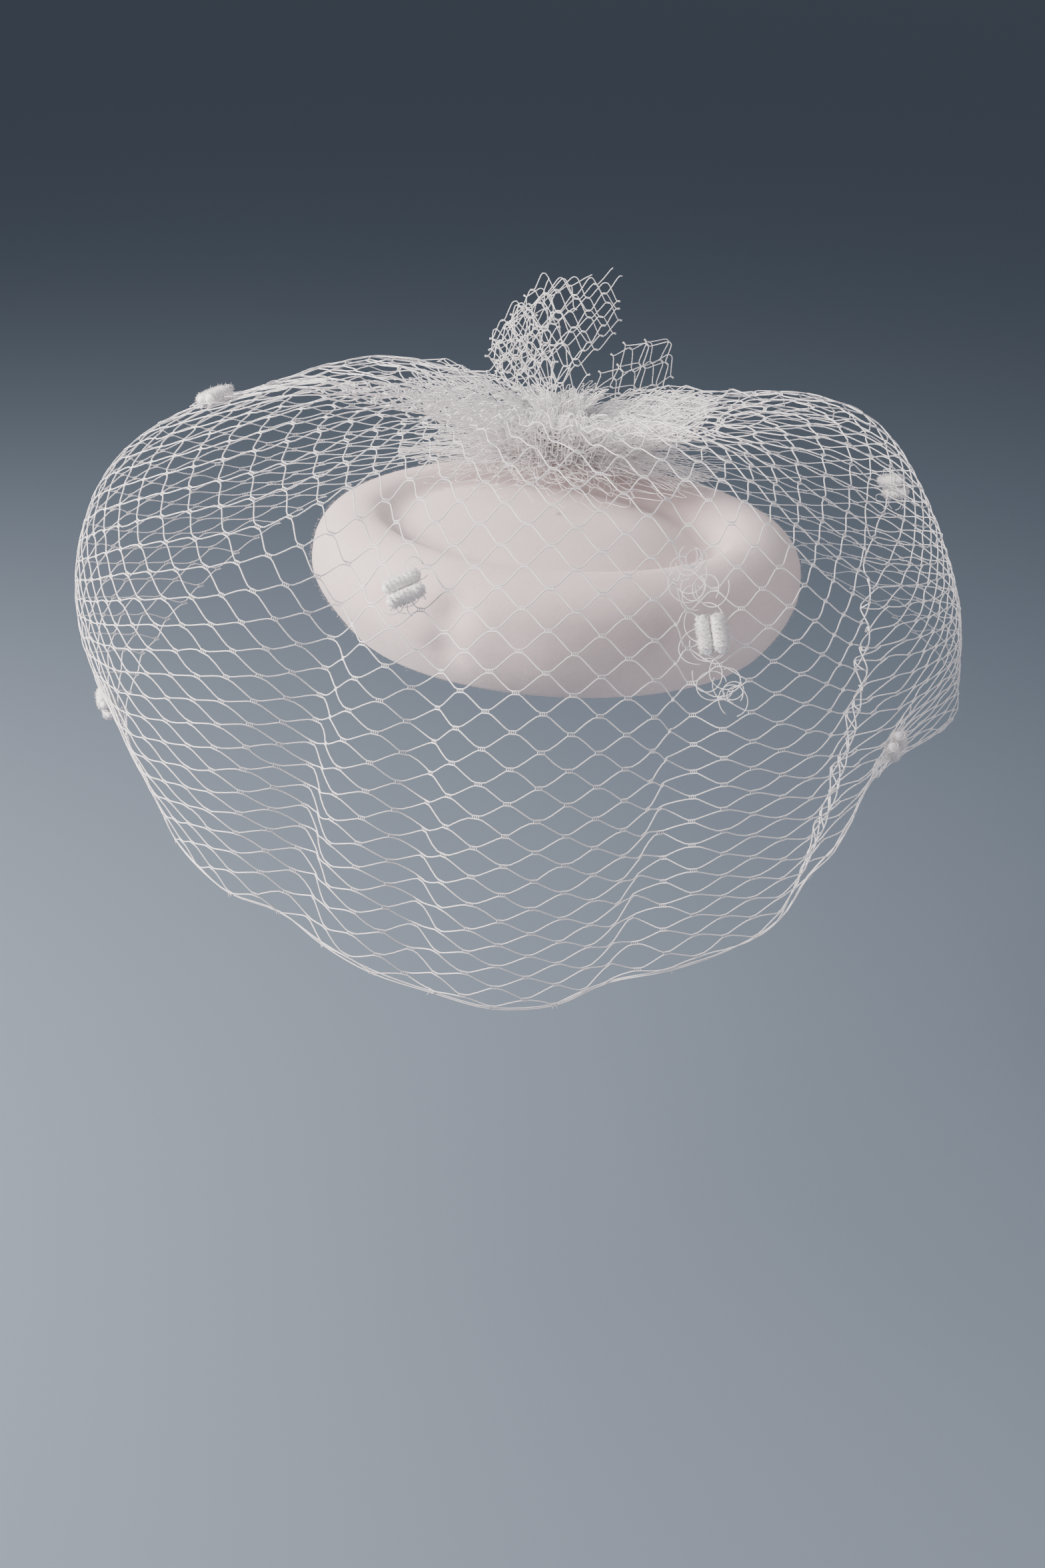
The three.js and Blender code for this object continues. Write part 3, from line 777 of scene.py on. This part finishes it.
def ruffle(threads, fold, rng, size=(46, 6), radius=FINE_RADIUS):
    """One standing fold of the crumpled net that hides the stalk."""
    turn_from, turn_to, height, reach, phase = fold
    columns, rows = size
    ties = np.zeros((columns, rows, 3))
    outs = np.zeros_like(ties)
    held = np.zeros((columns, rows), dtype=bool)
    for i in range(columns):
        turn = math.radians(turn_from + (turn_to - turn_from) * i / (columns - 1))
        direction = np.array([math.sin(turn), -math.cos(turn), 0])
        for j in range(i % 2, rows, 2):
            share = j / (rows - 1)
            crumple = math.sin(6 * turn + phase + 0.7 * j) + 0.6 * math.sin(10 * turn + 2 * phase)
            away = 4.5 + reach * share + 2.0 * crumple * share
            rise = height * math.sin(0.5 * math.pi * share) + 1.6 * crumple * share
            ties[i, j] = GATHER + away * direction + (0, 0, rise - 2)
            outs[i, j] = unit(np.array([0.0, 0.0, 1.0]) - 0.8 * direction)
            held[i, j] = True
    standing = Net(ties, outs, held, tie_reach=0.4, tie_gap=0.2, ease=0.5, stub=0)
    standing.weave(threads, 0, rows - 1, rng, rungs=0, sides=4, radius=radius)


frill_band = Threads()
for rise in FRILL_LIFTS:
    frill(frill_band, rise)
frill_band.make("veil_gather_frill", "veil", net)
# Folds that stand up or sag: azimuths from and to, height and reach at the edge, and where the
# waves start.
RUFFLES = [
    (-120, 120, 9.0, 15, 0.0), (-80, 150, 15.0, 10, 1.9), (-160, 60, 14.0, 12, 3.3),
    (-100, 100, 6.0, 22, 4.1), (60, 260, 12.0, 8, 5.2), (-70, 70, 17.0, 7, 2.6),
    (-140, -20, 11.0, 18, 1.2), (20, 150, 10.0, 19, 0.7), (-72, 78, 3.0, 36, 0.4),
    (-64, 66, 0.5, 29, 2.2), (-85, 85, 5.0, 31, 5.0), (-105, 105, -3.0, 46, 1.7),
    (-110, 110, -5.0, 38, 0.9), (-95, 95, -1.0, 42, 3.9),
]
# The lowest folds flop forward and hang just over the felt, in wider diamonds.
DRAPES = [
    (-84, 86, -5.0, 34, 1.1), (-86, 88, -6.5, 41, 3.4), (-84, 84, -7.0, 24, 5.6),
    (-70, 76, -7.5, 50, 2.3), (-60, 72, -7.5, 62, 4.4), (-84, 86, -4.0, 46, 0.2),
    (-88, -36, -5.5, 54, 2.7), (38, 88, -5.5, 56, 5.1),
]
DRAPE_NET = (30, 9)
DRAPE_RADIUS = 0.1
ruffle_band = Threads()
for fold in RUFFLES:
    ruffle(ruffle_band, fold, draws)
ruffle_band.make("veil_gather_ruffles", "veil", net)
drape_band = Threads()
drape_draws = np.random.default_rng(11)
for fold in DRAPES:
    ruffle(drape_band, fold, drape_draws, DRAPE_NET, DRAPE_RADIUS)
drape_band.make("veil_gather_drape", "veil", net)


# ------------------------------------------------------------------ net tails
# The two cut ends of the strip stand up behind the gather as loose fans, each folded so that two
# or three layers of diamonds cross. Their edges are cut through the diamonds and left raw.

TAIL_ROOT = np.array([-2.0, 65.0, 54.5])
# Ribs of each fan: lean from +X, length from the root, and how far the tip stands back.
UPPER_TAIL = np.array([
    (59, 36, 10),
    (71, 53, 10),
    (84, 49, 7),
    (100, 47, 10),
    (118, 40, 9),
    (140, 34, 8),
    (157, 28, 5),
], dtype=float)
LOWER_TAIL = np.array([
    (15, 42, 14),
    (26, 42, 17),
    (36, 44, 12),
    (52, 30, 15),
], dtype=float)


# Folded layers of each fan: half a diamond's width and height, how far the net is shifted in x
# and z, how far it lies behind the root, its tilt, and the leans between which it is there.
UPPER_LAYERS = [
    (5.6, 5.7, (0.0, 0.0), -1.6, -4, (0, 180)),
    (5.6, 5.7, (2.4, 1.2), 1.4, -7, (0, 180)),
    (5.3, 5.5, (4.6, 2.9), -3.4, 3, (0, 180)),
    (5.2, 6.2, (1.4, 4.2), 3.4, -20, (80, 180)),
    (4.6, 5.8, (-0.8, 1.2), 0.2, 4, (92, 180)),
    (4.2, 5.4, (1.2, 2.0), -3.0, 16, (96, 180)),
    (4.4, 5.0, (2.6, 0.6), 2.4, -30, (98, 180)),
    (4.0, 5.2, (0.4, 3.4), -0.8, 26, (104, 180)),
    (4.8, 5.6, (2.0, 5.0), 4.6, 10, (110, 180)),
]
LOWER_LAYERS = [
    (5.4, 6.2, (1.0, 0.5), -1.4, -40, (0, 180)),
    (5.4, 6.2, (3.2, 1.6), 1.8, -52, (0, 180)),
    (4.8, 5.6, (0.4, 2.6), 3.6, -30, (0, 180)),
]
TAIL_RADIUS = 0.15


def tail_layer(threads, ribs, half_wide, half_tall, shift, lift, tilt, leans):
    """One folded layer of a tail: an even net, cut to the fan's outline and drawn in at its foot."""
    columns = np.arange(-14, 15)
    rows = 16
    ties = np.zeros((len(columns), rows, 3))
    held = np.zeros(ties.shape[:2], dtype=bool)
    turn = math.radians(tilt)
    for i, column in enumerate(columns):
        for j in range(i % 2, rows, 2):
            u = column * half_wide + shift[0] + 0.5 * math.sin(0.9 * j + lift)
            v = (j - 3) * half_tall + shift[1] + 0.5 * math.sin(0.7 * i + lift)
            x = u * math.cos(turn) - v * math.sin(turn)
            z = u * math.sin(turn) + v * math.cos(turn)
            lean = math.degrees(math.atan2(z, x))
            reach = math.hypot(x, z)
            length, back = blend_rows(np.array([lean]), ribs[:, 0], ribs[:, 1:])[0]
            lowest = max(ribs[0, 0] - 4, leans[0])
            highest = min(ribs[-1, 0] + 5, leans[1])
            if not lowest < lean < highest or reach > length + 1.5:
                continue
            share = min(1, reach / length)
            drawn = 0.3 + 0.7 * smooth_step(reach, 2, 20)
            wave = 1.3 * math.sin(0.16 * x * drawn + 0.9 * lift) * share
            ties[i, j] = TAIL_ROOT + (x * drawn, back * share ** 1.4 + lift * share + wave, z * drawn)
            held[i, j] = True
    outs = np.zeros_like(ties) + (0, -1, 0)
    fan = Net(ties, outs, held, tie_reach=0.5, tie_gap=0.16, ease=0.3, stub=0)
    fan.weave(threads, 0, rows - 1, draws, rungs=0, sides=4, radius=TAIL_RADIUS)


def tail_stalks(threads, low, high, count):
    """The drawn-in threads at a tail's foot, running down into the gather."""
    for lean in np.linspace(low, high, count):
        turn = math.radians(lean + draws.normal(0, 4))
        depth = draws.uniform(-2.2, 2.6)
        length = draws.uniform(4, 11)
        root = TAIL_ROOT + (length * math.cos(turn), depth + 0.4, length * math.sin(turn))
        foot = GATHER + (3.2 * math.cos(turn), 0.6 * depth, -3.0)
        middle = (foot + root) / 2 + (2.4 * math.cos(turn), draws.normal(0, 1), 0)
        path = blend_rows(np.linspace(0, 2, 9), np.arange(3.0), np.array([foot, middle, root]))
        threads.add(path[None], np.tile((0.0, -1.0, 0.0), (1, 9, 1)), radius=FINE_RADIUS, sides=4)


upper_tail = Threads()
for layer in UPPER_LAYERS:
    tail_layer(upper_tail, UPPER_TAIL, *layer)
tail_stalks(upper_tail, 58, 158, 30)
upper_tail.make("tail_upper_net", "net_tail_upper", net)
lower_tail = Threads()
for layer in LOWER_LAYERS:
    tail_layer(lower_tail, LOWER_TAIL, *layer)
tail_stalks(lower_tail, 14, 54, 14)
lower_tail.make("tail_lower_net", "net_tail_lower", net)


# ------------------------------------------------------------------ chenille dots
# Each dot is a short piece of chenille stem, a twisted wire with a dense white pile, folded
# double round a thread of the net and pinched shut, so two plump lobes lie side by side.

DOT_LENGTH = 14.8
DOT_WIDTH = 9.2
DOT_STANDS_OFF = 2.2
LOBE_SIDES = 12
LOBE_RINGS = 49
PILE_FIBRES = 1500
PILE_RADIUS = 0.11
# The twisted wire holds the pile in a spiral of this pitch, so it stands in ridges.
PILE_PITCH = 1.3
# The solid heart's share of a lobe's radius. The pile starts inside it, at the second share.
CORE_SHARE, ROOT_SHARE = 0.86, 0.7
# Azimuth, share of the way down the net, and turn of the lobes from the line of hang.
DOT_PLACES = [(-98, 0.5, 65), (-85, 0.956, 80), (-24, 0.594, -46),
              (28, 0.638, -8), (119, 0.762, 75), (64, 0.931, 50)]


def chenille_material():
    # Viscose pile, cut and brushed: bright matte white, with a soft sheen off the fibre tips.
    material, tree = new_material("white_chenille_pile_cut")
    where = add_node(tree, "ShaderNodeTexCoord", {}, {})
    noise = add_node(tree, "ShaderNodeTexNoise", {}, {
        "Vector": where.outputs["Object"], "Scale": 0.5 / (0.8 * MM), "Detail": 3.0})
    colour = two_tone(tree, noise.outputs["Fac"], (0.3, "#fbfaf9"), (0.65, "#ffffff"))
    pile = add_node(tree, "ShaderNodeBsdfPrincipled", {}, {
        "Base Color": colour, "Roughness": 0.85, "IOR": 1.5,
        "Specular IOR Level": 0.3, "Sheen Weight": 0.9, "Sheen Roughness": 0.4})
    add_node(tree, "ShaderNodeOutputMaterial", {}, {"Surface": pile.outputs["BSDF"]})
    return material


chenille = chenille_material()


def lobe_core(centre, along, wide, out, length, radius):
    """The solid heart of one lobe, a stubby rounded rod."""
    turns = 2 * math.pi * np.arange(LOBE_SIDES) / LOBE_SIDES
    rings = []
    for t in np.linspace(-1, 1, LOBE_RINGS):
        fat = radius * math.sqrt(max(1 - abs(t) ** 3.5, 0.02))
        ridges = np.sin(2 * math.pi * 0.5 * length * t / PILE_PITCH - turns)
        fat = fat * (1 + 0.035 * ridges)[:, None]
        ring = centre + 0.5 * length * t * along
        ring = ring + fat * (np.cos(turns)[:, None] * wide + np.sin(turns)[:, None] * out)
        rings.append(ring)
    last = (LOBE_RINGS - 1) * LOBE_SIDES
    faces = closed_strips(LOBE_SIDES, LOBE_RINGS)
    faces.append(list(range(LOBE_SIDES))[::-1])
    faces.append([last + i for i in range(LOBE_SIDES)])
    return np.concatenate(rings), faces


def veil_axes(azimuth, share):
    """A point of the veil, and the directions outwards, down the net and across it."""
    place = np.array([float(azimuth)]), np.array([share])
    out = unit(on_veil(veil_normals, *place)[0])
    down = unit(on_veil(veil_down, *place)[0])
    return on_veil(veil_grid, *place)[0], out, down, np.cross(out, down)


for number, (azimuth, share, spin) in enumerate(DOT_PLACES, start=1):
    middle, out, down, side = veil_axes(azimuth, share)
    spin = math.radians(spin)
    long = math.cos(spin) * down + math.sin(spin) * side
    wide = np.cross(out, long)
    middle = middle + DOT_STANDS_OFF * out
    points, faces, count = [], [], 0
    for lobe in (-1, 1):
        centre = middle + lobe * 0.23 * DOT_WIDTH * wide + 0.2 * lobe * long
        radius = 0.25 * DOT_WIDTH
        core_points, core_faces = lobe_core(
            centre, long, wide, out, DOT_LENGTH - 2.8, CORE_SHARE * radius)
        points.append(core_points)
        faces += [[count + k for k in face] for face in core_faces]
        count += len(core_points)
        turn = draws.uniform(0, 2 * math.pi, PILE_FIBRES)
        radial = np.cos(turn)[:, None] * wide + np.sin(turn)[:, None] * out
        half = 0.5 * (DOT_LENGTH - 4.4)
        coil = np.floor(draws.uniform(-half, half, PILE_FIBRES) / PILE_PITCH) + turn / (2 * math.pi)
        t = np.clip((coil * PILE_PITCH + draws.normal(0, 0.3, PILE_FIBRES)) / half, -1, 1)
        ends = (np.clip(np.abs(t) - 0.6, 0, 1) * np.sign(t))[:, None] * 2.4
        lean = unit(radial + ends * long + 0.2 * draws.normal(0, 1, (PILE_FIBRES, 3)))
        roots = centre + (half * t)[:, None] * long + ROOT_SHARE * radius * radial
        length = draws.uniform(0.38, 0.62, PILE_FIBRES) * radius * (1 - 0.22 * t ** 4)
        length *= np.where(draws.uniform(0, 1, PILE_FIBRES) > 0.92, 1.6, 1.0)
        # The pile is squeezed flat where the two lobes press on each other.
        pressed = np.clip(-lobe * (radial @ wide), 0, 1)
        length *= 1 - 0.35 * pressed
        tips = roots + length[:, None] * lean
        fibre_points, fibre_faces = cone_batch(roots, tips, PILE_RADIUS)
        points.append(fibre_points)
        faces += (fibre_faces + count).tolist()
        count += len(fibre_points)
    dot = mesh_piece(f"chenille_dot_{number}_pile", np.concatenate(points), faces, chenille)
    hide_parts(f"chenille_dot_{number}")


# Where a dot's wire pinches the net, slack threads curl round it in small open loops. Most of them
# lie above and below the fourth dot, where the net is drawn up in a small fold.
# For each: the dot's place in the table above, how many curls, and how far they spread.
CURLS = [(3, 22, 25), (0, 6, 7), (1, 5, 7), (2, 6, 8), (4, 6, 8), (5, 8, 9)]
CURL_RADII = (2.6, 6.0)
CURL_BENDS = (3.4, 6.0)
CURL_STEPS = 26
curl_band = Threads()
for number, count, spread in CURLS:
    azimuth, share, _ = DOT_PLACES[number]
    middle, out, down, side = veil_axes(azimuth, share)
    for curl in range(count):
        fall = draws.uniform(-1, 1) * spread
        radius = draws.uniform(*CURL_RADII)
        centre = middle + fall * down + draws.normal(0, 2.4) * side
        start = draws.uniform(0, 2 * math.pi)
        bend = start + np.linspace(0, draws.uniform(*CURL_BENDS), CURL_STEPS)
        oval = draws.uniform(0.75, 1.15)
        path = centre + radius * (np.cos(bend)[:, None] * down + oval * np.sin(bend)[:, None] * side)
        path = path + (0.5 + 0.9 * np.sin(1.4 * bend + start))[:, None] * out
        curl_band.add(path[None], np.tile(out, (1, CURL_STEPS, 1)), radius=FINE_RADIUS, sides=4)
curl_band.make("veil_net_curls", "veil", net)


# ------------------------------------------------------------------ stage, light and camera
# A plain grey-blue floor well below the hat, which is held up as a head would hold it, and soft
# studio light from the upper left.

FLOOR_HEIGHT = -235
FLOOR_REACH = 40.0

floor_mesh = bpy.data.meshes.new("floor")
reach = FLOOR_REACH
floor_mesh.from_pydata(
    [(-reach, -reach, FLOOR_HEIGHT * MM), (reach, -reach, FLOOR_HEIGHT * MM),
     (reach, reach, FLOOR_HEIGHT * MM), (-reach, reach, FLOOR_HEIGHT * MM)],
    [], [(0, 1, 2, 3)])
# Matte background paper off a roll.
paper, tree = new_material("pale_grey_paper_rolled")
surface = add_node(tree, "ShaderNodeBsdfPrincipled", {}, {
    "Base Color": linear("#74828f"), "Roughness": 0.9, "Specular IOR Level": 0.2})
add_node(tree, "ShaderNodeOutputMaterial", {}, {"Surface": surface.outputs["BSDF"]})
floor_mesh.materials.append(paper)
floor = bpy.data.objects.new("floor", floor_mesh)
bpy.context.scene.collection.objects.link(floor)


def soft_light(name, place, aim, size, power, colour):
    """A square area light at a place, in metres, turned to the aim point."""
    data = bpy.data.lights.new(name, "AREA")
    data.size = size
    data.energy = power
    data.color = linear(colour)[:3]
    light = bpy.data.objects.new(name, data)
    light.location = place
    light.rotation_euler = (Vector(aim) - Vector(place)).to_track_quat("-Z", "Y").to_euler()
    bpy.context.scene.collection.objects.link(light)


soft_light("window_left", (-0.86, -0.24, 0.40), (0, 0, 0), 0.45, 29.5, "#fff1ed")
soft_light("overhead", (-0.10, 0.20, 0.9), (0, 0, 0), 0.6, 2.2, "#f7f6ff")
soft_light("front_fill", (0.80, -0.70, 0.22), (0, 0, 0), 0.8, 4.5, "#fdf2f5")

world = bpy.data.worlds.new("studio")
bpy.context.scene.world = world
world.use_nodes = True
# The room is dim at the height of the horizon and brighter overhead.
tree = world.node_tree
where = add_node(tree, "ShaderNodeTexCoord", {}, {})
height = add_node(tree, "ShaderNodeSeparateXYZ", {}, {"Vector": where.outputs["Generated"]})
sky = two_tone(tree, height.outputs["Z"], (0.02, "#576370"), (0.35, "#c9cbd4"))
tree.links.new(sky, tree.nodes["Background"].inputs["Color"])
tree.nodes["Background"].inputs["Strength"].default_value = 0.38

LENS = 42.1
CAMERA_PLACE = Vector((0.0, -588.0, 213.7)) * MM
CAMERA_AIM = Vector((-6.5, 0.0, -62.6)) * MM
CAMERA_ROLL = 3.6

camera_data = bpy.data.cameras.new("camera")
camera_data.lens = LENS
camera_data.sensor_width = 36
camera_data.clip_start = 0.01
camera = bpy.data.objects.new("camera", camera_data)
look = (CAMERA_AIM - CAMERA_PLACE).to_track_quat("-Z", "Y").to_matrix().to_4x4()
camera.matrix_world = (Matrix.Translation(CAMERA_PLACE) @ look
                       @ Matrix.Rotation(math.radians(CAMERA_ROLL), 4, "Z"))
bpy.context.scene.collection.objects.link(camera)
bpy.context.scene.camera = camera
